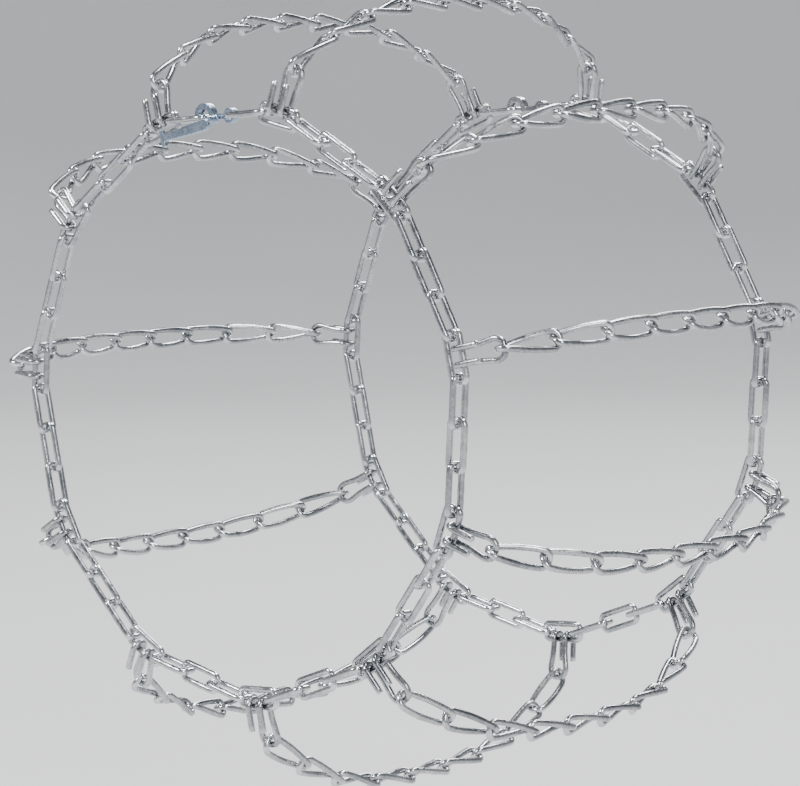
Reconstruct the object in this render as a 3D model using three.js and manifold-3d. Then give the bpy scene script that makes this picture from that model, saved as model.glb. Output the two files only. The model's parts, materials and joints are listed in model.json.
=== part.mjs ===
// Ladder-type tire snow chain, laid round its wheel: two side chains, eleven twisted cross chains,
// the double hooks that join them, and the lever and hook that close the two side chains.
//
// Millimetres. The origin is the centre of the wheel, +Y runs along the axle towards the vehicle
// (the outer, kerb side of the wheel is at -Y) and +Z is up.
import * as THREE from "three";
import { mergeVertices } from "three/addons/utils/BufferGeometryUtils.js";
import Module from "manifold-3d";

// ---- Driving dimensions ----------------------------------------------------------------------

const RUNGS = 11; // cross chains round the wheel
const FIRST_RUNG_DEG = 45.7; // angle of rung 1, from +X towards +Z
const ROOT_RUNG = 5; // the rung at the bottom, where the ladder is held when it is unrolled
const PITCH = 26; // side chain link, from joint to joint
const RUN_LINKS = 3; // free side links between two hooked ones
const CROSS_PITCH = 34; // cross chain link, from joint to joint
const CROSS_TILTS_DEG = [33, 24, 12, 4]; // slope of the cross links, hook to crown
const LINK_TWIST_DEG = 45; // each end of a cross link is rolled this far from flat

const WIRE_R = 2.1; // corner radius of the wire's section, for 4 mm wire
const WIRE_SIDES = 5;
const LINK_HALF_WIDTH = 5.6; // centre line of the side bars, at mid length
const LINK_END_HALF_WIDTH = 5; // and at the squared-off ends
const JOINED = 1.7; // how far an end bow lies past its joint where two links bear on each other
const FREE = 2.25; // and where they turn on each other, which leaves 0.3 mm

const PRONG_SPACING = 9.8; // between the two prongs of a double hook
const PRONG_WRAP_R = 4.9; // the prongs' bend round the side link's bar
const PRONG_WRAP_DEG = 75; // the bend starts and ends this far from the outward direction
const PRONG_WRAP_STEPS = 5;
const PRONG_TIP = [15, -2.6]; // cut tip, outward from the bar and towards the tyre
const HOOK_JOINT = [24, 7]; // cross chain's first joint, outward and towards the tyre
const HOOK_BOW_ROUND = [
  [8.5, 6.3],
  [1.8, 5],
  [0, 2.2],
]; // corners of the bow that holds the cross chain: short of its end, and half its width there

const EYE_R = 4.9; // lever's eye round the end bow of the link that carries it
const EYE_HOLE_R = 2.6;
const NOSE_WIDTH = 5; // of the eye, shank and nose, along the axle
const SHANK_THICK = 3.6;
const NOSE_R = 6.2; // middle line of the curled nose
const NOSE_THICK = 3.8;
const NOSE_RISE = 1.2; // centre of the curl above the chain line
const NOSE_PAST_BOW = 0.2; // centre of the curl past the middle of the bow that it holds
const NOSE_DROP = 3.4; // straight tip below the curl's centre
const ARM_GAP = 8.3; // from the side chain's plane to the back of the lever's arm
const ARM_THICK = 3;
const ARM_START = [13.4, -4.6]; // from the eye: along the chain, and outward from it
const ARM_END = [50, -10.6];
const ARM_START_R = 3.6;
const ARM_END_R = 2.1;
const ARM_FLANGE = [2.6, 10.5]; // length along the arm, and width across it, of the tip
const BOSS_AT = [11.8, -1.6];
const BOSS_R = 2.5;
const BOSS_SIDES = 12;

const ZINC = { color: 0xc3c6ca, roughness: 0.3, metalness: 0.9 };
const BLUE_ZINC = { color: 0xaebccb, roughness: 0.34, metalness: 0.85 };
const CROSS_ZINC = { color: 0xb9bcc0, roughness: 0.34, metalness: 0.9 };

// ---- The wheel's circle ----------------------------------------------------------------------

const AXLE = new THREE.Vector3(0, 1, 0);
const RUNG_STEP = (2 * Math.PI) / RUNGS;
const RUN_LENGTH = RUN_LINKS * PITCH;

// Every joint between a hooked link and its run lies on one circle, because the hooked links
// and the runs are the sides of a regular figure with two lengths of side.
const JOINT_R =
  Math.sqrt(PITCH ** 2 + RUN_LENGTH ** 2 + 2 * PITCH * RUN_LENGTH * Math.cos(RUNG_STEP / 2)) /
  (2 * Math.sin(RUNG_STEP / 2));
const HOOKED_HALF_ANGLE = Math.asin(PITCH / 2 / JOINT_R);
const HOOKED_BAR_R = Math.sqrt(JOINT_R ** 2 - (PITCH / 2) ** 2) + LINK_HALF_WIDTH;

const rungAngle = (rung) => THREE.MathUtils.degToRad(FIRST_RUNG_DEG) - (rung - 1) * RUNG_STEP;
const radial = (angle) => new THREE.Vector3(Math.cos(angle), 0, Math.sin(angle));
const tangent = (angle) => new THREE.Vector3(-Math.sin(angle), 0, Math.cos(angle));
const onWheel = (radius, angle, y) => radial(angle).multiplyScalar(radius).setY(y);
const twoDigits = (rung) => String(rung).padStart(2, "0");

// Joints of one cross chain as [radius, y], from the outer hook over the crown to the inner hook.
function crossJoints() {
  const tilts = [...CROSS_TILTS_DEG, 0, ...CROSS_TILTS_DEG.map((t) => -t).reverse()];
  const joints = [new THREE.Vector2(HOOKED_BAR_R + HOOK_JOINT[0], 0)];
  for (const tilt of tilts) {
    const slope = THREE.MathUtils.degToRad(tilt);
    const step = new THREE.Vector2(Math.sin(slope), Math.cos(slope)).multiplyScalar(CROSS_PITCH);
    joints.push(joints.at(-1).clone().add(step));
  }
  const middle = joints.at(-1).y / 2;
  return joints.map((joint) => joint.setY(joint.y - middle));
}
const CROSS_JOINTS = crossJoints();
const SIDE_PLANE = -CROSS_JOINTS[0].y + HOOK_JOINT[1]; // of each side chain, from mid-wheel

// The two side chains: where each lies on the axle, and which way along it the tyre is.
const SIDES = [
  { name: "outer", y: -SIDE_PLANE, inward: 1 },
  { name: "inner", y: SIDE_PLANE, inward: -1 },
];

// ---- Wire forms ------------------------------------------------------------------------------

// A path through given corners, which a tube's rings hit exactly.
class CornerPath extends THREE.Curve {
  constructor(corners, closed) {
    super();
    this.corners = corners;
    this.closed = closed;
    this.spans = closed ? corners.length : corners.length - 1;
  }
  corner(index) {
    const count = this.corners.length;
    if (this.closed) return this.corners[(index + count) % count];
    return this.corners[THREE.MathUtils.clamp(index, 0, count - 1)];
  }
  getPoint(t, target = new THREE.Vector3()) {
    const at = t * this.spans;
    const index = Math.min(Math.floor(at + 1e-9), this.spans);
    return target.copy(this.corner(index)).lerp(this.corner(index + 1), at - index);
  }
  getPointAt(u, target) {
    return this.getPoint(u, target);
  }
  getTangentAt(u, target = new THREE.Vector3()) {
    const index = Math.round(u * this.spans);
    const before = this.corner(index).clone().sub(this.corner(index - 1)).normalize();
    const after = this.corner(index + 1).clone().sub(this.corner(index)).normalize();
    return target.copy(before).add(after).normalize();
  }
}

// Widens each ring of a closed tube where the path turns, so that the wire keeps its thickness.
function mitre(tube, path, sides) {
  const position = tube.getAttribute("position");
  for (let ring = 0; ring <= path.spans; ring += 1) {
    const centre = path.corner(ring);
    const before = centre.clone().sub(path.corner(ring - 1)).normalize();
    const after = path.corner(ring + 1).clone().sub(centre).normalize();
    const across = after.clone().sub(before);
    const stretch = 1 / Math.sqrt((1 + before.dot(after)) / 2);
    across.normalize();
    for (let side = 0; side <= sides; side += 1) {
      const vertex = ring * (sides + 1) + side;
      const arm = new THREE.Vector3().fromBufferAttribute(position, vertex).sub(centre);
      arm.addScaledVector(across, arm.dot(across) * (stretch - 1));
      position.setXYZ(vertex, ...arm.add(centre).toArray());
    }
  }
  return tube;
}

// One chain link between two joints. ends[i] is how far its end bow lies past joint i, and
// width[i] is the direction across the link there, so two different ones make a twisted link.
function link(joints, ends, width) {
  const along = joints[1].clone().sub(joints[0]).normalize();
  const bows = [
    joints[0].clone().addScaledVector(along, -ends[0]),
    joints[1].clone().addScaledVector(along, ends[1]),
  ];
  const middle = bows[0].clone().add(bows[1]).multiplyScalar(0.5);
  const middleWidth = width[0].clone().add(width[1]).normalize();
  const corners = [
    bows[0].clone().addScaledVector(width[0], -LINK_END_HALF_WIDTH),
    bows[0].clone().addScaledVector(width[0], LINK_END_HALF_WIDTH),
    middle.clone().addScaledVector(middleWidth, LINK_HALF_WIDTH),
    bows[1].clone().addScaledVector(width[1], LINK_END_HALF_WIDTH),
    bows[1].clone().addScaledVector(width[1], -LINK_END_HALF_WIDTH),
    middle.clone().addScaledVector(middleWidth, -LINK_HALF_WIDTH),
  ];
  const path = new CornerPath(corners, true);
  const tube = new THREE.TubeGeometry(path, corners.length, WIRE_R, WIRE_SIDES, true);
  return mitre(tube, path, WIRE_SIDES);
}

function polygon(radius, sides, centre = [0, 0]) {
  const points = [];
  for (let i = 0; i < sides; i += 1) {
    const angle = (i / sides) * 2 * Math.PI;
    points.push(
      new THREE.Vector2(centre[0] + radius * Math.cos(angle), centre[1] + radius * Math.sin(angle)),
    );
  }
  return points;
}

// ---- Joining solids --------------------------------------------------------------------------

const wasm = await Module();
wasm.setup();

function toSolid(geometry) {
  const bare = geometry.index ? geometry.toNonIndexed() : geometry.clone();
  bare.deleteAttribute("normal");
  bare.deleteAttribute("uv");
  const merged = mergeVertices(bare, 1e-4);
  return new wasm.Manifold(
    new wasm.Mesh({
      numProp: 3,
      vertProperties: merged.getAttribute("position").array,
      triVerts: new Uint32Array(merged.index.array),
    }),
  );
}

function toGeometry(solid) {
  const mesh = solid.getMesh();
  const geometry = new THREE.BufferGeometry();
  geometry.setAttribute("position", new THREE.BufferAttribute(mesh.vertProperties, 3));
  geometry.setIndex(new THREE.BufferAttribute(mesh.triVerts, 1));
  return geometry.toNonIndexed();
}

function joined(geometries) {
  return toGeometry(geometries.map(toSolid).reduce((sum, solid) => sum.add(solid)));
}

// ---- Side chains -----------------------------------------------------------------------------

// The pieces of a rung are drawn with the rung at angle 0, which is +X, and turned into place.

// The joint at one end of the hooked link. way is +1 for the end at the greater angle.
function sideJoint(way, side) {
  return onWheel(JOINT_R, way * HOOKED_HALF_ANGLE, side.y);
}

// The nearest joint of the next rung's hooked link, one way or the other round the wheel.
function neighbourJoint(way, side) {
  return onWheel(JOINT_R, way * (RUNG_STEP - HOOKED_HALF_ANGLE), side.y);
}

// Straight stretch of side links from one joint towards another: the first and third stand on
// edge, and the second lies flat on the sidewall. ends gives the two outermost overhangs.
function sideRun(from, to, count, ends) {
  const outward = from.clone().add(to).setY(0).normalize();
  const step = to.clone().sub(from).divideScalar(RUN_LINKS);
  const links = [];
  for (let i = 0; i < count; i += 1) {
    const start = from.clone().addScaledVector(step, i);
    const width = i % 2 === 0 ? AXLE : outward;
    const bows = [i === 0 ? ends[0] : JOINED, i === count - 1 ? ends[1] : JOINED];
    links.push(link([start, start.clone().add(step)], bows, [width, width]));
  }
  return links;
}

// Side link that lies flat on the sidewall and carries a hook of the cross chain.
function hookedLink(way, side, ends) {
  const width = radial(0);
  return link([sideJoint(-way, side), sideJoint(way, side)], ends, [width, width]);
}

// One bay of a side chain: the run that starts at the neighbouring rung, and its hooked link.
// way is the sense round the wheel in which the ladder leads away from the bottom rung.
function sideBay(way, side) {
  return [
    ...sideRun(neighbourJoint(-way, side), sideJoint(-way, side), RUN_LINKS, [FREE, JOINED]),
    hookedLink(way, side, [JOINED, FREE]),
  ];
}

// The last link before the fastener, on edge, at either end of an open side chain.
function endLink(way, side) {
  return sideRun(sideJoint(way, side), neighbourJoint(way, side), 1, [JOINED, FREE]);
}

// ---- Cross chains ----------------------------------------------------------------------------

// Roll of a cross link at mid length. The links lie flat on the tread, and next to each hook
// the chain turns so that its first bow stands across the hook's bow.
function middleRoll(index, count) {
  const fromEnd = Math.min(index, count - 1 - index);
  const turned = Math.max(0, 1 - fromEnd / (CROSS_TILTS_DEG.length - 1));
  const sense = index < count / 2 ? -1 : 1;
  return sense * LINK_TWIST_DEG * turned ** 2;
}

function crossChain() {
  const flat = tangent(0);
  const joints = CROSS_JOINTS.map((joint) => onWheel(joint.x, 0, joint.y));
  const count = joints.length - 1;
  const links = [];
  for (let i = 0; i < count; i += 1) {
    const along = joints[i + 1].clone().sub(joints[i]).normalize();
    const widths = [-LINK_TWIST_DEG, LINK_TWIST_DEG].map((end) => {
      const roll = THREE.MathUtils.degToRad(middleRoll(i, count) + end);
      return flat.clone().applyAxisAngle(along, roll);
    });
    const ends = [i === 0 ? FREE : JOINED, i === count - 1 ? FREE : JOINED];
    links.push(link([joints[i], joints[i + 1]], ends, widths));
  }
  return links;
}

// Double hook of one bent wire: a long bow whose end holds the cross chain, and two prongs that
// come through the side link from behind its outer bar and lie over the legs, tips outward.
function doubleHook(side) {
  const place = ([out, inward], sideways) =>
    new THREE.Vector3(HOOKED_BAR_R + out, side.y + side.inward * inward, sideways);
  const half = [[PRONG_TIP, PRONG_SPACING / 2]];
  for (let i = 0; i <= PRONG_WRAP_STEPS; i += 1) {
    const sweep = (360 - 2 * PRONG_WRAP_DEG) * (i / PRONG_WRAP_STEPS);
    const bend = THREE.MathUtils.degToRad(-PRONG_WRAP_DEG - sweep);
    const wrap = [PRONG_WRAP_R * Math.cos(bend), PRONG_WRAP_R * Math.sin(bend)];
    half.push([wrap, PRONG_SPACING / 2]);
  }
  const firstSlope = THREE.MathUtils.degToRad(CROSS_TILTS_DEG[0]);
  const bow = [
    HOOK_JOINT[0] + FREE * Math.sin(firstSlope),
    HOOK_JOINT[1] + FREE * Math.cos(firstSlope),
  ];
  const [legStart] = half.at(-1);
  const rise = (bow[1] - legStart[1]) / (bow[0] - legStart[0]);
  for (const [short, width] of HOOK_BOW_ROUND) {
    half.push([[bow[0] - short, bow[1] - rise * short], width]);
  }
  const route = [
    ...half.map(([point, width]) => place(point, width)),
    ...half.toReversed().map(([point, width]) => place(point, -width)),
  ];
  const path = new CornerPath(route, false);
  const section = new THREE.Shape(polygon(WIRE_R, WIRE_SIDES));
  return new THREE.ExtrudeGeometry(section, { steps: path.spans, extrudePath: path });
}

// ---- Fasteners -------------------------------------------------------------------------------

// The fasteners are drawn in the plane of the side chain, x along the chain from the link that
// carries them to the link that they catch, and y outward from the wheel, with the eye at 0, 0.
const EYE_PAST_JOINT = FREE;
const CAUGHT_BOW = PITCH - 2 * FREE;

function noseOutline() {
  const centre = [CAUGHT_BOW + NOSE_PAST_BOW, NOSE_RISE];
  const outer = NOSE_R + NOSE_THICK / 2;
  const inner = NOSE_R - NOSE_THICK / 2;
  const shank = SHANK_THICK / 2;
  const outline = new THREE.Shape();
  outline.moveTo(0, -shank);
  outline.lineTo(centre[0] - inner, -shank);
  outline.lineTo(centre[0] - inner, centre[1]);
  outline.absarc(centre[0], centre[1], inner, Math.PI, 0, true);
  outline.lineTo(centre[0] + inner, centre[1] - NOSE_DROP);
  outline.lineTo(centre[0] + outer, centre[1] - NOSE_DROP);
  outline.lineTo(centre[0] + outer, centre[1]);
  outline.absarc(centre[0], centre[1], outer, 0, Math.PI, false);
  outline.lineTo(centre[0] - outer, shank);
  outline.lineTo(0, shank);
  return outline;
}

function armOutline() {
  const [start, end] = [ARM_START, ARM_END].map((point) => new THREE.Vector2(...point));
  const slope = end.clone().sub(start).angle();
  const outline = new THREE.Shape();
  const across = new THREE.Vector2(-Math.sin(slope), Math.cos(slope));
  const low = end.clone().addScaledVector(across, -ARM_END_R);
  const high = end.clone().addScaledVector(across, ARM_END_R);
  outline.absarc(start.x, start.y, ARM_START_R, slope + Math.PI / 2, slope - Math.PI / 2, false);
  outline.lineTo(low.x, low.y);
  outline.lineTo(high.x, high.y);
  return outline;
}

function flangeOutline() {
  const [start, end] = [ARM_START, ARM_END].map((point) => new THREE.Vector2(...point));
  const along = end.clone().sub(start).normalize();
  const across = new THREE.Vector2(-along.y, along.x);
  const corner = (a, b) =>
    end.clone().addScaledVector(along, a).addScaledVector(across, (b * ARM_FLANGE[1]) / 2);
  const reach = ARM_FLANGE[0];
  return new THREE.Shape([corner(-0.5, -1), corner(reach, -1), corner(reach, 1), corner(-0.5, 1)]);
}

// Extrudes an outline from one distance in front of the side chain's plane to another.
function plate(outline, from, to, steps = 4) {
  const geometry = new THREE.ExtrudeGeometry(outline, {
    depth: to - from,
    bevelEnabled: false,
    curveSegments: steps,
  });
  return geometry.translate(0, 0, from);
}

// Moves fastener geometry from its own plane to the side chain: x along the chain, y outward
// and z away from the tyre.
function onSideChain(geometry, side) {
  const start = sideJoint(1, side);
  const end = neighbourJoint(1, side);
  const along = end.clone().sub(start).normalize();
  const outward = start.clone().add(end).setY(0).normalize();
  const away = AXLE.clone().multiplyScalar(-side.inward);
  const eye = start.clone().addScaledVector(along, PITCH + EYE_PAST_JOINT);
  const frame = new THREE.Matrix4().makeBasis(along, outward, away).setPosition(eye);
  const placed = geometry.applyMatrix4(frame);
  return frame.determinant() < 0 ? turnedOut(placed) : placed;
}

// A mirrored solid with each face turned round again.
function turnedOut(geometry) {
  const position = geometry.getAttribute("position");
  for (let i = 0; i < position.count; i += 3) {
    const [a, b] = [i, i + 1].map((at) => new THREE.Vector3().fromBufferAttribute(position, at));
    position.setXYZ(i, ...b.toArray());
    position.setXYZ(i + 1, ...a.toArray());
  }
  return geometry;
}

function eyeAndNose() {
  const eye = new THREE.Shape(polygon(EYE_R, BOSS_SIDES));
  const hole = new THREE.Shape(polygon(EYE_HOLE_R, BOSS_SIDES));
  const half = NOSE_WIDTH / 2;
  const body = toSolid(plate(eye, -half, half)).add(toSolid(plate(noseOutline(), -half, half)));
  return toGeometry(body.subtract(toSolid(plate(hole, -NOSE_WIDTH, NOSE_WIDTH))));
}

function lever() {
  const boss = new THREE.Shape(polygon(BOSS_R, BOSS_SIDES, BOSS_AT));
  const front = ARM_GAP + ARM_THICK;
  return joined([
    eyeAndNose(),
    plate(boss, 0, ARM_GAP + ARM_THICK / 2),
    plate(armOutline(), ARM_GAP, front),
    plate(flangeOutline(), ARM_GAP, front),
  ]);
}

// ---- Assembly --------------------------------------------------------------------------------

// Rungs in the order in which the ladder leads away from the bottom rung, each way.
const BRANCHES = [
  { way: 1, rungs: [4, 3, 2, 1, 11] },
  { way: -1, rungs: [6, 7, 8, 9, 10] },
];

const part = new THREE.Group();
const rungGroups = [];
for (let rung = 1; rung <= RUNGS; rung += 1) {
  const group = new THREE.Group();
  group.rotation.y = -rungAngle(rung);
  part.add(group);
  rungGroups.push(group);
}

function addPiece(rung, name, geometry, finish) {
  geometry.computeVertexNormals();
  const mesh = new THREE.Mesh(geometry, new THREE.MeshStandardMaterial(finish));
  mesh.name = name;
  rungGroups[rung - 1].add(mesh);
}

const crossGeometry = joined(crossChain());
for (let rung = 1; rung <= RUNGS; rung += 1) {
  addPiece(rung, `cross_chain_${twoDigits(rung)}`, crossGeometry, CROSS_ZINC);
}

for (const side of SIDES) {
  const rootLink = hookedLink(1, side, [FREE, FREE]);
  addPiece(ROOT_RUNG, `${side.name}_link_${twoDigits(ROOT_RUNG)}`, rootLink, ZINC);

  for (const { way, rungs } of BRANCHES) {
    const bay = joined(sideBay(way, side));
    const lastBay = joined([...sideBay(way, side), ...endLink(way, side)]);
    for (const rung of rungs) {
      const geometry = rung === rungs.at(-1) ? lastBay : bay;
      addPiece(rung, `${side.name}_side_chain_${twoDigits(rung)}`, geometry, ZINC);
    }
  }

  const hook = doubleHook(side);
  for (let rung = 1; rung <= RUNGS; rung += 1) {
    addPiece(rung, `${side.name}_hook_${twoDigits(rung)}`, hook, ZINC);
  }
}

addPiece(RUNGS, "outer_fastener_lever", onSideChain(lever(), SIDES[0]), BLUE_ZINC);
addPiece(RUNGS, "inner_fastener_hook", onSideChain(eyeAndNose(), SIDES[1]), ZINC);

export default part;
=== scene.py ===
"""Looks of the tire snow chain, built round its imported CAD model.

Every CAD node is replaced by one fine mesh of the same piece: round wire bent into links with squared
ends and weld beads, twisted cross links, double hooks with sheared tips, and the curled fasteners.
Metres, in the row's frame: the wheel's centre at the origin, +Y along the axle towards the vehicle, +Z up.
"""

import json
import math
import random

import bmesh
import bpy
import numpy as np
from mathutils import Matrix, Vector


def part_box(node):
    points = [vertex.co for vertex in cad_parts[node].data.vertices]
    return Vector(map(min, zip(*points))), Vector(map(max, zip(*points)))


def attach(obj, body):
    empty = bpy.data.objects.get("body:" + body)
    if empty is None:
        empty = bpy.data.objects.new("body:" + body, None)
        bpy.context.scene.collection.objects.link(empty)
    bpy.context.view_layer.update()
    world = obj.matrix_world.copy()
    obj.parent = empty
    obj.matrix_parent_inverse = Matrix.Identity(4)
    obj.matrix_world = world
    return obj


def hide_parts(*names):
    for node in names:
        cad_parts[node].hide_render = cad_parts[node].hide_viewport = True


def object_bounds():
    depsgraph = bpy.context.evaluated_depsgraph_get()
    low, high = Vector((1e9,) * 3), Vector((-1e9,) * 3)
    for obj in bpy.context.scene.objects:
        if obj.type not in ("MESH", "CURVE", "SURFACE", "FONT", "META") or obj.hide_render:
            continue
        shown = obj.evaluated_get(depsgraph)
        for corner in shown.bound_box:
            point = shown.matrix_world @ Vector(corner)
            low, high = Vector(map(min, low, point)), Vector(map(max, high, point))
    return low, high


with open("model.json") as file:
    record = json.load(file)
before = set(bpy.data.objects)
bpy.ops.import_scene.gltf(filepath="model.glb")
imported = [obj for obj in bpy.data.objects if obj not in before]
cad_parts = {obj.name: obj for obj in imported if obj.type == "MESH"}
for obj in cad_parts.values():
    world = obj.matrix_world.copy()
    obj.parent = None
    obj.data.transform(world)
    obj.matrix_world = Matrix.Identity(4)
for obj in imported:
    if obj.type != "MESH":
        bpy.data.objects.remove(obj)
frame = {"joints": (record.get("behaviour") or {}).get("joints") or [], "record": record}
cad_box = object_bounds()

# ---- Driving dimensions, in millimetres as in the CAD model ------------------------------------

MM = 0.001
RUNGS = 11
ROOT_RUNG = 5
FIRST_RUNG = math.radians(45.7)
RUNG_STEP = 2 * math.pi / RUNGS
PITCH = 26.0
RUN_LINKS = 3
CROSS_PITCH = 34.0
CROSS_TILTS = [33, 24, 12, 4]
LINK_TWIST = 45.0
WIRE_R = 2.0
HALF_WIDTH = 5.5
SIDE_CORNER = 3.3  # bend radius of a side link's squared-off ends
CROSS_CORNER = 4.7  # and of a cross link's rounder ends
BEARING = 2.0  # how far a bow lies past its joint where two links bear on each other
LOOSE = 2.15  # and where they turn on each other
CAD_LOOSE = 2.25  # the same in the CAD model, which the fastener is drawn from

PRONG_SPACING = 9.8
PRONG_WRAP_R = 4.6
PRONG_WRAP = math.radians(75)  # the wrap starts and ends this far from the outward direction
PRONG_WRAP_STEPS = 6
PRONG_TIP = (15, -2.6)  # outward from the side link's bar, and towards the tyre
HOOK_JOINT = (24, 7)  # the cross chain's first joint, in the same directions
LEG_START = (3.5, 4.85)  # where the leg leaves the wrap
BAR_ROOM = 0.1  # the hook stands this far off the side link's bar
# Leg and bow of the hook: short of the bow's end, and half its width there.
BOW_ROUND = [(17, 5.1), (11, 5.9), (6.2, 6.5), (2.6, 5.5), (0.5, 2.9)]

NOSE_R = 6.2
NOSE_RISE = 1.2
CAUGHT_BOW = PITCH - 2 * CAD_LOOSE  # from the eye to the bow that the nose holds

WIRE_SIDES = 14
ARC_STEPS = 6
BAR_STEPS = 9
ROUTE_STEPS = 5  # between two corners of a bent wire

# Marks on the wire, in millimetres: the weld bead, the rubbed bows and the sheared tips.
WELD_LENGTH = 1.5
WELD_SWELL = 0.10  # of the wire's radius
WIRE_SPREAD = 0.008  # of the wire's radius, from link to link
RUB_LENGTH = 4.5
RUB_FADE = 4.0
TIP_REACH = 0.35
TIP_RADII = (0.78, 0.97)  # of the wire's radius, at the cut and just behind it
TIP_RUB = 2.0
MARK_SPAN = 400  # the wire's length is counted from a random start within this


# ---- The wheel's circle, from the frame --------------------------------------------------------

def joint_named(name):
    return next(joint for joint in frame["joints"] if joint["name"] == name)


root_box = [np.array(corner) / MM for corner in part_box("outer_link_05")]
SIDE_PLANE = -float(root_box[0][1] + root_box[1][1]) / 2
unroll_at = joint_named("right_unroll")["pos_m"]
JOINT_R = math.hypot(unroll_at[0], unroll_at[2]) / MM
HOOKED_HALF = math.asin(PITCH / 2 / JOINT_R)
HOOKED_BAR_R = math.sqrt(JOINT_R**2 - (PITCH / 2) ** 2) + HALF_WIDTH
AXLE = np.array([0.0, 1.0, 0.0])


def unit(vector):
    return vector / np.linalg.norm(vector)


def rung_angle(rung):
    return FIRST_RUNG - (rung - 1) * RUNG_STEP


def on_wheel(radius, angle, y):
    return np.array([radius * math.cos(angle), y, radius * math.sin(angle)])


def turned(vector, axis, angle):
    """The vector turned about a unit axis."""
    across = np.cross(axis, vector)
    along = axis * float(np.dot(axis, vector)) * (1 - math.cos(angle))
    return vector * math.cos(angle) + across * math.sin(angle) + along


def cross_joints():
    """Joints of a cross chain as (radius, y), from the outer hook over the crown to the inner one."""
    tilts = CROSS_TILTS + [0] + [-tilt for tilt in reversed(CROSS_TILTS)]
    joints = [np.array([HOOKED_BAR_R + BAR_ROOM + HOOK_JOINT[0], 0.0])]
    for tilt in tilts:
        slope = math.radians(tilt)
        joints.append(joints[-1] + CROSS_PITCH * np.array([math.sin(slope), math.cos(slope)]))
    middle = joints[-1][1] / 2
    return [(float(r), float(y) - middle) for r, y in joints]


# ---- Wire ------------------------------------------------------------------------------------

class Shape:
    """Vertices, quads and per-vertex values of one piece, gathered from its wires."""

    def __init__(self):
        self.points = []
        self.faces = []
        self.values = {"along": [], "round": [], "rub": [], "weld": [], "shade": []}
        self.count = 0

    def add_tube(self, path, normals, radius, closed, marks):
        """A tube of rings round a path. normals is one direction per point to measure the ring's
        angle from, radius is one number per point, and marks holds the values of each ring."""
        path = np.asarray(path)
        if closed:
            tangents = np.roll(path, -1, axis=0) - np.roll(path, 1, axis=0)
        else:
            tangents = np.gradient(path, axis=0)
        tangents /= np.linalg.norm(tangents, axis=1)[:, None]
        normals = normals - tangents * np.sum(normals * tangents, axis=1)[:, None]
        normals /= np.linalg.norm(normals, axis=1)[:, None]
        sideways = np.cross(tangents, normals)
        angles = np.arange(WIRE_SIDES) / WIRE_SIDES * 2 * math.pi
        ring = np.cos(angles)[None, :, None] * normals[:, None, :]
        ring = ring + np.sin(angles)[None, :, None] * sideways[:, None, :]
        points = path[:, None, :] + ring * np.asarray(radius)[:, None, None]
        rings = len(path)
        self.points.append(points.reshape(-1, 3))
        for key, value in marks.items():
            self.values[key].append(np.repeat(np.asarray(value, dtype=float), WIRE_SIDES))
        self.values["round"].append(np.tile(angles / (2 * math.pi), rings))
        spans = rings if closed else rings - 1
        first = np.repeat(np.arange(spans), WIRE_SIDES)
        second = (first + 1) % rings
        side = np.tile(np.arange(WIRE_SIDES), spans)
        after = (side + 1) % WIRE_SIDES
        quads = np.stack(
            [
                first * WIRE_SIDES + side,
                first * WIRE_SIDES + after,
                second * WIRE_SIDES + after,
                second * WIRE_SIDES + side,
            ],
            axis=1,
        )
        self.faces.extend((quads + self.count).tolist())
        if not closed:
            last = self.count + (rings - 1) * WIRE_SIDES
            self.faces.append([self.count + i for i in reversed(range(WIRE_SIDES))])
            self.faces.append([last + i for i in range(WIRE_SIDES)])
        self.count += rings * WIRE_SIDES

    def mesh(self, name, turn):
        """The gathered wires as a mesh, turned about the axle to its rung."""
        points = np.concatenate(self.points) * MM
        c, s = math.cos(turn), math.sin(turn)
        placed = points.copy()
        placed[:, 0] = points[:, 0] * c - points[:, 2] * s
        placed[:, 2] = points[:, 0] * s + points[:, 2] * c
        mesh = bpy.data.meshes.new(name)
        mesh.from_pydata(placed.tolist(), [], self.faces)
        for key, parts in self.values.items():
            attribute = mesh.attributes.new(key, "FLOAT", "POINT")
            attribute.data.foreach_set("value", np.concatenate(parts).astype(np.float32))
        mesh.shade_smooth()
        mesh.update()
        return mesh


def link_outline(half_length, corner):
    """Centre line of a flat link as (x, y), with round corners between straight bars."""
    bar = half_length - corner
    end = HALF_WIDTH - corner
    points = []
    corners = [(bar, end, 0.5), (-bar, end, 1.0), (-bar, -end, 1.5), (bar, -end, 2.0)]
    for x, y, finish in corners:
        for step in range(ARC_STEPS):
            angle = math.pi * (finish - 0.5 + 0.5 * step / ARC_STEPS)
            points.append((x + corner * math.cos(angle), y + corner * math.sin(angle)))
        here = math.pi * finish
        start = (x + corner * math.cos(here), y + corner * math.sin(here))
        along_bar = finish in (0.5, 1.5)
        steps = BAR_STEPS if along_bar else 2
        run = 2 * bar if along_bar else 2 * end
        heading = (-math.sin(here), math.cos(here))
        for step in range(steps):
            reach = run * step / steps
            points.append((start[0] + heading[0] * reach, start[1] + heading[1] * reach))
    return np.array(points)


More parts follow.
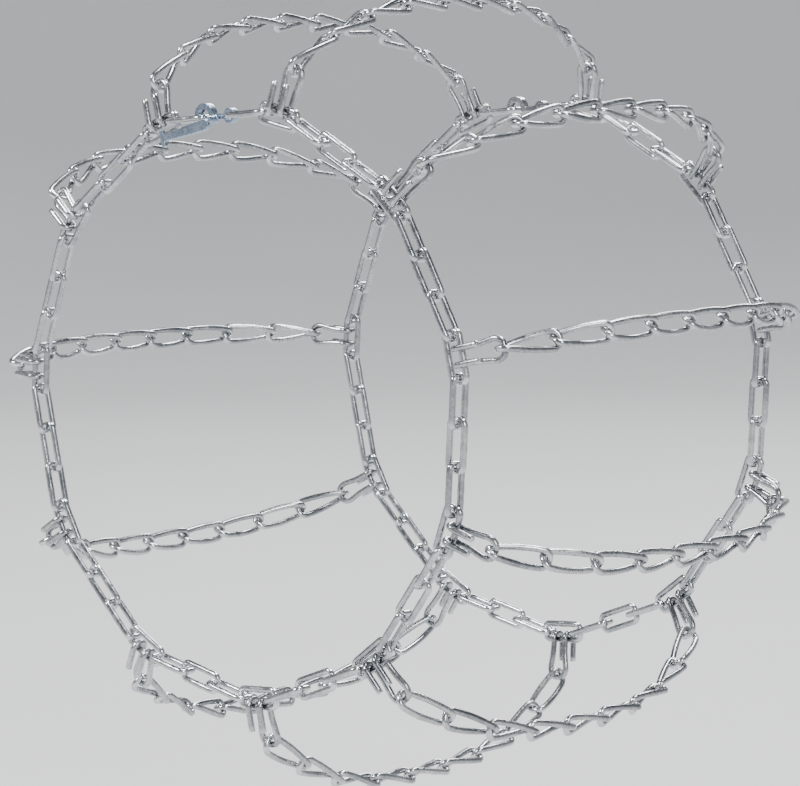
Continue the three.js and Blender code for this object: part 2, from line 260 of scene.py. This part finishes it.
def add_link(shape, joints, ends, widths, corner, dice):
    """One link between two joints. widths holds the direction across the link at each end."""
    axis = unit(joints[1] - joints[0])
    bows = [joints[0] - axis * ends[0], joints[1] + axis * ends[1]]
    middle = (bows[0] + bows[1]) / 2
    half = float(np.linalg.norm(bows[1] - bows[0])) / 2
    outline = link_outline(half, corner)
    across = np.cross(axis, widths[0])
    twist = math.atan2(float(np.dot(widths[1], across)), float(np.dot(widths[1], widths[0])))
    rolls = twist * (outline[:, 0] + half) / (2 * half)
    widths_here = np.array([turned(widths[0], axis, roll) for roll in rolls])
    path = middle + outline[:, :1] * axis + outline[:, 1:] * widths_here
    normals = np.cross(axis[None, :], widths_here)
    steps = np.linalg.norm(np.roll(path, -1, axis=0) - path, axis=1)
    along = np.concatenate([[0.0], np.cumsum(steps)[:-1]])
    weld_side = dice.choice((-1, 1))
    weld_at = dice.uniform(-WELD_LENGTH, WELD_LENGTH)
    on_side = (np.sign(outline[:, 1]) == weld_side) & (np.abs(outline[:, 1]) > HALF_WIDTH - 0.5)
    weld = np.exp(-(((outline[:, 0] - weld_at) / WELD_LENGTH) ** 2)) * on_side
    rub = np.clip((np.abs(outline[:, 0]) - (half - RUB_LENGTH)) / RUB_FADE, 0, 1)
    radius = WIRE_R * (1 + WELD_SWELL * weld + dice.uniform(-WIRE_SPREAD, WIRE_SPREAD))
    shape.add_tube(
        path,
        normals,
        radius,
        True,
        {
            "along": along + dice.uniform(0, MARK_SPAN),
            "rub": rub,
            "weld": weld,
            "shade": np.full(len(path), dice.random()),
        },
    )


def smooth_route(corners, steps):
    """Points on a Catmull-Rom curve through the corners."""
    corners = [np.asarray(corner, dtype=float) for corner in corners]
    padded = [2 * corners[0] - corners[1], *corners, 2 * corners[-1] - corners[-2]]
    points = []
    for before, start, end, after in zip(padded, padded[1:], padded[2:], padded[3:]):
        for step in range(steps):
            t = step / steps
            linear = (end - before) * t
            square = (2 * before - 5 * start + 4 * end - after) * t**2
            cube = (3 * start - before - 3 * end + after) * t**3
            points.append(0.5 * (2 * start + linear + square + cube))
    points.append(corners[-1])
    return np.array(points)


def carried_normals(path):
    """Directions across an open path that turn as little as they can along it."""
    tangents = np.gradient(path, axis=0)
    tangents /= np.linalg.norm(tangents, axis=1)[:, None]
    normal = np.cross(tangents[0], AXLE)
    normals = []
    for tangent in tangents:
        normal = unit(normal - tangent * float(np.dot(normal, tangent)))
        normals.append(normal)
    return np.array(normals)


# ---- The pieces of a rung, drawn at angle 0 ----------------------------------------------------

SIDES = {"outer": (-SIDE_PLANE, 1), "inner": (SIDE_PLANE, -1)}


def side_joint(way, y):
    return on_wheel(JOINT_R, way * HOOKED_HALF, y)


def neighbour_joint(way, y):
    return on_wheel(JOINT_R, way * (RUNG_STEP - HOOKED_HALF), y)


def add_run(shape, start, end, count, ends, dice):
    """Side links from one joint towards another: first and third on edge, second flat."""
    outward = (start + end) / 2
    outward = unit(np.array([outward[0], 0.0, outward[2]]))
    step = (end - start) / RUN_LINKS
    for i in range(count):
        across = AXLE if i % 2 == 0 else outward
        bows = [ends[0] if i == 0 else BEARING, ends[1] if i == count - 1 else BEARING]
        joints = [start + step * i, start + step * (i + 1)]
        add_link(shape, joints, bows, [across, across], SIDE_CORNER, dice)


def hooked_link(shape, way, y, ends, dice):
    across = np.array([1.0, 0.0, 0.0])
    joints = [side_joint(-way, y), side_joint(way, y)]
    add_link(shape, joints, ends, [across, across], SIDE_CORNER, dice)


def side_chain(rung, way, side, last):
    dice = random.Random(f"{side} {rung}")
    y = SIDES[side][0]
    shape = Shape()
    add_run(shape, neighbour_joint(-way, y), side_joint(-way, y), RUN_LINKS, [LOOSE, BEARING], dice)
    hooked_link(shape, way, y, [BEARING, LOOSE], dice)
    if last:
        add_run(shape, side_joint(way, y), neighbour_joint(way, y), 1, [BEARING, LOOSE], dice)
    return shape


def root_link(side):
    shape = Shape()
    hooked_link(shape, 1, SIDES[side][0], [LOOSE, LOOSE], random.Random(side))
    return shape


def middle_roll(index, count):
    """Roll of a cross link at mid length, which turns the first bow across the hook's bow."""
    from_end = min(index, count - 1 - index)
    turned_by = max(0.0, 1 - from_end / (len(CROSS_TILTS) - 1))
    sense = -1 if index < count / 2 else 1
    return sense * LINK_TWIST * turned_by**2


def cross_chain(rung):
    dice = random.Random(f"cross {rung}")
    flat = np.array([0.0, 0.0, 1.0])
    joints = [on_wheel(r, 0.0, y) for r, y in cross_joints()]
    count = len(joints) - 1
    shape = Shape()
    for i in range(count):
        axis = unit(joints[i + 1] - joints[i])
        rolls = [middle_roll(i, count) + end for end in (-LINK_TWIST, LINK_TWIST)]
        widths = [turned(flat, axis, math.radians(roll)) for roll in rolls]
        ends = [LOOSE if i == 0 else BEARING, LOOSE if i == count - 1 else BEARING]
        add_link(shape, [joints[i], joints[i + 1]], ends, widths, CROSS_CORNER, dice)
    return shape


def double_hook(rung, side):
    """One bent wire: a bow that holds the cross chain, and two prongs wrapped round the side link."""
    y, inward = SIDES[side]
    dice = random.Random(f"hook {side} {rung}")

    def place(point, sideways):
        return (HOOKED_BAR_R + BAR_ROOM + point[0], y + inward * point[1], sideways)

    half = [(PRONG_TIP, PRONG_SPACING / 2)]
    for i in range(PRONG_WRAP_STEPS + 1):
        bend = -PRONG_WRAP - (2 * math.pi - 2 * PRONG_WRAP) * i / PRONG_WRAP_STEPS
        wrap = (PRONG_WRAP_R * math.cos(bend), PRONG_WRAP_R * math.sin(bend))
        half.append((wrap, PRONG_SPACING / 2))
    slope = math.radians(CROSS_TILTS[0])
    bow = (HOOK_JOINT[0] + LOOSE * math.sin(slope), HOOK_JOINT[1] + LOOSE * math.cos(slope))
    rise = (bow[1] - LEG_START[1]) / (bow[0] - LEG_START[0])
    for short, width in BOW_ROUND:
        half.append(((bow[0] - short, bow[1] - rise * short), width))
    corners = [place(point, width) for point, width in half]
    corners += [place(point, -width) for point, width in reversed(half)]
    path = smooth_route(corners, ROUTE_STEPS)
    tip = unit(path[0] - path[1])
    other = unit(path[-1] - path[-2])
    path = np.concatenate([[path[0] + tip * TIP_REACH], path, [path[-1] + other * TIP_REACH]])
    radius = np.full(len(path), WIRE_R)
    radius[[0, -1]] = WIRE_R * TIP_RADII[0]
    radius[[1, -2]] = WIRE_R * TIP_RADII[1]
    steps = np.linalg.norm(np.diff(path, axis=0), axis=1)
    along = np.concatenate([[0.0], np.cumsum(steps)])
    ends = np.minimum(along, along[-1] - along)
    shape = Shape()
    shape.add_tube(
        path,
        carried_normals(path),
        radius,
        False,
        {
            "along": along + dice.uniform(0, MARK_SPAN),
            "rub": np.clip(1 - ends / TIP_RUB, 0, 1),
            "weld": np.zeros(len(path)),
            "shade": np.full(len(path), dice.random()),
        },
    )
    return shape


# ---- Fasteners, drawn in the plane of the side chain --------------------------------------------

EYE_R = 4.8
EYE_HOLE_R = 2.5
NOSE_HALF = 1.9
SHANK_HALF = 1.8
NOSE_DROP = 3.4
PLATE_HALF = 2.4
ARM_GAP = 8.4
ARM_THICK = 2.8
ARM_START = Vector((13.4, -4.6))
ARM_END = Vector((50.0, -10.6))
ARM_START_R = 3.5
ARM_END_R = 2.0
FLANGE = (2.5, 10.2)
BOSS_AT = (11.8, -1.6)
BOSS_R = 2.4
FORGING_VOXEL = 0.3


def arc(centre, radius, start, finish, steps=24):
    turns = [start + (finish - start) * i / steps for i in range(steps + 1)]
    return [(centre[0] + radius * math.cos(a), centre[1] + radius * math.sin(a)) for a in turns]


def nose_outline():
    """The shank and the nose that curls over the caught link, as one closed outline."""
    centre = (CAUGHT_BOW + 0.2, NOSE_RISE)
    inner, outer = NOSE_R - NOSE_HALF, NOSE_R + NOSE_HALF
    tip = centre[1] - NOSE_DROP
    outline = [(3.4, -SHANK_HALF), (centre[0] - inner - 0.8, -SHANK_HALF)]
    outline += arc(centre, inner, math.pi, 0)
    outline += [(centre[0] + inner + 0.3, tip), (centre[0] + outer - 0.9, tip)]
    outline += arc(centre, outer, 0, math.pi)
    outline += [(centre[0] - outer - 0.7, SHANK_HALF), (3.4, SHANK_HALF)]
    return outline


def arm_outline():
    slope = (ARM_END - ARM_START).normalized()
    across = Vector((-slope.y, slope.x))
    start = math.atan2(slope.y, slope.x)
    outline = arc(ARM_START, ARM_START_R, start + math.pi / 2, start + 3 * math.pi / 2)
    waist = ARM_START.lerp(ARM_END, 0.35)
    half = ARM_START_R * 0.92
    return outline + [
        tuple(waist - across * half),
        tuple(ARM_END - across * ARM_END_R),
        tuple(ARM_END + across * ARM_END_R),
        tuple(waist + across * half),
    ]


def flange_outline():
    slope = (ARM_END - ARM_START).normalized()
    across = Vector((-slope.y, slope.x)) * FLANGE[1] / 2
    near, far = ARM_END - slope * 0.6, ARM_END + slope * FLANGE[0]
    return [tuple(near - across), tuple(far - across), tuple(far + across), tuple(near + across)]


def add_plate(bm, outline, low, high):
    """A closed plate of an outline between two distances from the chain's plane."""
    bottom = [bm.verts.new((x, y, low)) for x, y in outline]
    top = [bm.verts.new((x, y, high)) for x, y in outline]
    bm.faces.new(top)
    bm.faces.new(list(reversed(bottom)))
    for i, vertex in enumerate(bottom):
        j = (i + 1) % len(bottom)
        bm.faces.new((vertex, bottom[j], top[j], top[i]))


def add_ring(bm, inner, outer, low, high, steps=48):
    """A closed flat ring round the origin."""
    loops = []
    for radius, z in ((inner, low), (outer, low), (outer, high), (inner, high)):
        turns = [2 * math.pi * i / steps for i in range(steps)]
        loops.append([bm.verts.new((radius * math.cos(a), radius * math.sin(a), z)) for a in turns])
    for k in range(4):
        here, there = loops[k], loops[(k + 1) % 4]
        for i in range(steps):
            j = (i + 1) % steps
            bm.faces.new((here[i], here[j], there[j], there[i]))


def side_frame(side):
    """Matrix from the fastener's drawing to the row: x along the chain, y outward, z off the tyre."""
    y, inward = SIDES[side]
    turn = rung_angle(RUNGS)
    ends = []
    for joint in (side_joint(1, y), neighbour_joint(1, y)):
        radius, angle = math.hypot(joint[0], joint[2]), math.atan2(joint[2], joint[0])
        ends.append(on_wheel(radius, angle + turn, y))
    along = Vector(unit(ends[1] - ends[0]))
    middle = ends[0] + ends[1]
    outward = Vector((middle[0], 0, middle[2])).normalized()
    eye = Vector(joint_named("outer_lever_turn")["pos_m"])
    eye.y = y * MM
    rows = Matrix((along, outward, Vector((0, -inward, 0)))).transposed()
    return Matrix.Translation(eye) @ rows.to_4x4() @ Matrix.Scale(MM, 4)


def fastener(name, side, with_arm):
    bm = bmesh.new()
    add_ring(bm, EYE_HOLE_R, EYE_R, -PLATE_HALF, PLATE_HALF)
    add_plate(bm, nose_outline(), -PLATE_HALF, PLATE_HALF)
    if with_arm:
        front = ARM_GAP + ARM_THICK
        add_plate(bm, arc(BOSS_AT, BOSS_R, 0, 2 * math.pi)[:-1], 0, ARM_GAP + ARM_THICK / 2)
        add_plate(bm, arm_outline(), ARM_GAP, front)
        add_plate(bm, flange_outline(), ARM_GAP, front)
    bmesh.ops.recalc_face_normals(bm, faces=bm.faces)
    mesh = bpy.data.meshes.new(name)
    bm.to_mesh(mesh)
    bm.free()
    piece = bpy.data.objects.new(name, mesh)
    bpy.context.collection.objects.link(piece)
    remesh = piece.modifiers.new("one_skin", "REMESH")
    remesh.mode = "VOXEL"
    remesh.voxel_size = FORGING_VOXEL
    soften = piece.modifiers.new("soft_edges", "SMOOTH")
    soften.factor = 0.5
    soften.iterations = 5
    graph = bpy.context.evaluated_depsgraph_get()
    made = bpy.data.meshes.new_from_object(piece.evaluated_get(graph))
    piece.modifiers.clear()
    placing = side_frame(side)
    made.transform(placing)
    if placing.determinant() < 0:
        made.flip_normals()
    made.shade_smooth()
    made.name = name
    piece.data = made
    return piece


# ---- Materials ---------------------------------------------------------------------------------

class Nodes:
    """A short way to write a material's node tree."""

    def __init__(self, name):
        self.material = bpy.data.materials.new(name)
        self.material.use_nodes = True
        self.tree = self.material.node_tree
        self.shader = self.tree.nodes["Principled BSDF"]

    def add(self, kind, inputs=None, **settings):
        node = self.tree.nodes.new(kind)
        for key, value in settings.items():
            setattr(node, key, value)
        for key, value in (inputs or {}).items():
            self.set(node.inputs[key], value)
        return node

    def set(self, socket, value):
        if isinstance(value, bpy.types.NodeSocket):
            self.tree.links.new(value, socket)
        else:
            socket.default_value = value

    def maths(self, operation, a, b=0.0):
        node = self.add("ShaderNodeMath", operation=operation)
        for socket, value in zip(node.inputs, (a, b)):
            self.set(socket, value)
        return node.outputs[0]

    def blend(self, factor, a, b):
        node = self.add("ShaderNodeMix", data_type="RGBA")
        self.set(node.inputs[0], factor)
        self.set(node.inputs[6], a)
        self.set(node.inputs[7], b)
        return node.outputs[2]

    def noise(self, scale, detail, vector=None, rough=0.55):
        inputs = {"Scale": scale, "Detail": detail, "Roughness": rough}
        if vector is not None:
            inputs["Vector"] = vector
        return self.add("ShaderNodeTexNoise", inputs).outputs["Fac"]

    def value(self, name):
        return self.add("ShaderNodeAttribute", attribute_name=name).outputs["Fac"]

    def ramp(self, factor, low, high, start=0.0, end=1.0):
        inputs = {"Value": factor, "From Min": start, "From Max": end, "To Min": low, "To Max": high}
        return self.add("ShaderNodeMapRange", inputs).outputs[0]


def zinc(name, light, dark, roughness):
    """Bright zinc plate on drawn wire: a fine mottle, lines along the wire, duller welds and
    rubbed, brighter bows. The wire's own length and angle come from the mesh."""
    n = Nodes(name)
    place = n.add("ShaderNodeTexCoord").outputs["Object"]
    cloud = n.noise(38.0, 4.0, place)
    mottle = n.noise(620.0, 6.0, place, 0.65)
    grain = n.noise(2600.0, 3.0, place, 0.6)
    drawn_at = n.add("ShaderNodeCombineXYZ")
    n.set(drawn_at.inputs[0], n.maths("MULTIPLY", n.value("along"), 0.03))
    n.set(drawn_at.inputs[1], n.maths("MULTIPLY", n.value("round"), 26.0))
    n.set(drawn_at.inputs[2], n.maths("MULTIPLY", n.value("shade"), 40.0))
    drawn = n.noise(1.0, 5.0, drawn_at.outputs[0], 0.7)
    weld = n.value("weld")
    rub = n.value("rub")

    tone = n.maths("ADD", n.ramp(cloud, -0.35, 0.35, 0.3, 0.7), n.ramp(mottle, 0.15, 0.85, 0.3, 0.7))
    tone = n.maths("ADD", tone, n.ramp(n.value("shade"), -0.16, 0.16))
    tone = n.maths("ADD", tone, n.ramp(drawn, -0.2, 0.2, 0.3, 0.7))
    tone = n.add("ShaderNodeClamp", {"Value": tone}).outputs[0]
    colour = n.blend(tone, dark, light)
    straw = n.maths("MULTIPLY", weld, n.ramp(mottle, 0.25, 0.85, 0.35, 0.65))
    colour = n.blend(straw, colour, (0.43, 0.42, 0.41, 1))
    colour = n.blend(n.maths("MULTIPLY", rub, 0.45), colour, (0.88, 0.89, 0.9, 1))
    n.set(n.shader.inputs["Base Color"], colour)

    rough = n.ramp(mottle, roughness - 0.07, roughness + 0.11, 0.3, 0.7)
    rough = n.maths("ADD", rough, n.ramp(cloud, -0.04, 0.06, 0.35, 0.65))
    rough = n.maths("ADD", rough, n.maths("MULTIPLY", weld, 0.16))
    rough = n.maths("SUBTRACT", rough, n.maths("MULTIPLY", rub, 0.05))
    n.set(n.shader.inputs["Roughness"], rough)

    height = n.maths("ADD", n.maths("MULTIPLY", drawn, 0.7), n.maths("MULTIPLY", mottle, 0.8))
    height = n.maths("ADD", height, n.maths("MULTIPLY", grain, 0.25))
    height = n.maths("ADD", height, n.maths("MULTIPLY", n.maths("MULTIPLY", weld, mottle), 1.6))
    bump = n.add("ShaderNodeBump", {"Height": height, "Strength": 0.13, "Distance": 0.00012})
    n.set(n.shader.inputs["Normal"], bump.outputs[0])
    n.shader.inputs["Metallic"].default_value = 1.0
    return n.material


def floor_material():
    n = Nodes("pale_floor")
    place = n.add("ShaderNodeTexCoord").outputs["Object"]
    cloud = n.noise(1.6, 3.0, place)
    speck = n.noise(240.0, 2.0, place)
    colour = n.blend(n.ramp(cloud, 0.2, 0.8, 0.3, 0.7), (0.60, 0.605, 0.61, 1), (0.64, 0.645, 0.65, 1))
    n.set(n.shader.inputs["Base Color"], colour)
    n.set(n.shader.inputs["Roughness"], n.ramp(speck, 0.5, 0.62, 0.3, 0.7))
    return n.material


MATERIALS = {
    "side_chain_zinc": zinc("side_chain_zinc", (0.60, 0.61, 0.63, 1), (0.22, 0.235, 0.26, 1), 0.19),
    "cross_chain_zinc": zinc("cross_chain_zinc", (0.58, 0.59, 0.60, 1), (0.20, 0.215, 0.235, 1), 0.20),
    "hook_zinc": zinc("hook_zinc", (0.60, 0.61, 0.62, 1), (0.22, 0.235, 0.255, 1), 0.20),
    "lever_zinc": zinc("lever_zinc", (0.46, 0.54, 0.66, 1), (0.20, 0.26, 0.35, 1), 0.24),
}


# ---- Pieces on their bodies --------------------------------------------------------------------

behaviour = frame["record"]["behaviour"]
BODY_OF = {node: body for body, nodes in behaviour["bodies"].items() for node in nodes}
SLOT_OF = {part["node"]: part["material_slot"] for part in frame["record"]["subparts"]}


def put(piece, node):
    """Stands a finished piece in for its CAD node."""
    slot = SLOT_OF[node]
    piece.data.materials.clear()
    piece.data.materials.append(MATERIALS[slot])
    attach(piece, BODY_OF[node])
    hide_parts(node)


def put_wire(shape, node, rung):
    name = f"{node}_wire"
    piece = bpy.data.objects.new(name, shape.mesh(name, rung_angle(rung)))
    bpy.context.collection.objects.link(piece)
    put(piece, node)


BRANCHES = {1: [4, 3, 2, 1, 11], -1: [6, 7, 8, 9, 10]}
for side in SIDES:
    put_wire(root_link(side), f"{side}_link_{ROOT_RUNG:02d}", ROOT_RUNG)
    for way, rungs in BRANCHES.items():
        for rung in rungs:
            shape = side_chain(rung, way, side, rung == rungs[-1])
            put_wire(shape, f"{side}_side_chain_{rung:02d}", rung)
    for rung in range(1, RUNGS + 1):
        put_wire(double_hook(rung, side), f"{side}_hook_{rung:02d}", rung)
for rung in range(1, RUNGS + 1):
    put_wire(cross_chain(rung), f"cross_chain_{rung:02d}", rung)
put(fastener("outer_lever_forging", "outer", True), "outer_fastener_lever")
put(fastener("inner_hook_forging", "inner", False), "inner_fastener_hook")


# ---- Studio ------------------------------------------------------------------------------------

IMAGE_WIDTH = 800
FLOOR_ROOM = 0.17  # under the chain, so that the unrolled ladder clears the floor


def studio_bowl(radius, curve, height):
    """A round floor that curves up into a wall on every side."""
    profile = [(r, 0.0) for r in (0.3, 0.8, 1.6, 2.4, radius - curve)]
    profile += [
        (radius - curve + curve * math.sin(a), curve - curve * math.cos(a))
        for a in (math.radians(turn) for turn in range(9, 91, 9))
    ]
    profile.append((radius, height))
    steps = 96
    floor_z = cad_box[0][2] - FLOOR_ROOM
    bm = bmesh.new()
    rings = []
    for r, z in profile:
        turns = [2 * math.pi * i / steps for i in range(steps)]
        rings.append([bm.verts.new((r * math.cos(a), r * math.sin(a), floor_z + z)) for a in turns])
    bm.faces.new(rings[0])
    for low, high in zip(rings, rings[1:]):
        for i in range(steps):
            j = (i + 1) % steps
            bm.faces.new((low[i], high[i], high[j], low[j]))
    mesh = bpy.data.meshes.new("studio_bowl")
    bm.to_mesh(mesh)
    bm.free()
    mesh.shade_smooth()
    mesh.materials.append(floor_material())
    bowl = bpy.data.objects.new("studio_bowl", mesh)
    bpy.context.collection.objects.link(bowl)


def softbox(name, place, size, watts):
    """A rectangular lamp that faces the wheel's centre."""
    lamp = bpy.data.lights.new(name, "AREA")
    lamp.shape = "RECTANGLE"
    lamp.size, lamp.size_y = size
    lamp.energy = watts
    holder = bpy.data.objects.new(name, lamp)
    holder.location = place
    holder.rotation_euler = (-Vector(place)).to_track_quat("-Z", "Y").to_euler()
    bpy.context.collection.objects.link(holder)


def sky(strength):
    world = bpy.data.worlds.new("studio")
    bpy.context.scene.world = world
    world.use_nodes = True
    background = world.node_tree.nodes["Background"]
    background.inputs["Color"].default_value = (0.86, 0.9, 0.96, 1)
    background.inputs["Strength"].default_value = strength


def camera(azimuth, elevation, roll, distance, focal, off_x, off_y):
    """A camera that looks at the wheel's centre. focal and the shift are in image widths."""
    azimuth, elevation = math.radians(azimuth), math.radians(elevation)
    back = Vector(
        (
            math.sin(azimuth) * math.cos(elevation),
            -math.cos(azimuth) * math.cos(elevation),
            math.sin(elevation),
        )
    )
    data = bpy.data.cameras.new("camera")
    data.sensor_width = 36.0
    data.lens = focal * data.sensor_width
    data.shift_x, data.shift_y = off_x, off_y
    data.clip_start, data.clip_end = 0.05, 100.0
    holder = bpy.data.objects.new("camera", data)
    upright = (-back).to_track_quat("-Z", "Y").to_matrix().to_4x4()
    holder.matrix_world = (
        Matrix.Translation(back * distance) @ upright @ Matrix.Rotation(math.radians(roll), 4, "Z")
    )
    bpy.context.collection.objects.link(holder)
    bpy.context.scene.camera = holder


studio_bowl(radius=7.0, curve=3.0, height=3.4)
softbox("key", (-1.9, -2.7, 3.2), (1.0, 1.0), 250)
softbox("fill", (3.3, -1.8, 2.0), (0.6, 1.8), 85)
softbox("top", (0.4, 0.8, 3.8), (1.2, 1.2), 170)
softbox("rim", (-1.4, 3.0, 2.4), (1.8, 0.6), 110)
sky(0.3)
camera(
    azimuth=41.87,
    elevation=6.04,
    roll=-0.19,
    distance=2.094,
    focal=3199 / IMAGE_WIDTH,
    off_x=-0.7 / IMAGE_WIDTH,
    off_y=-6.9 / IMAGE_WIDTH,
)
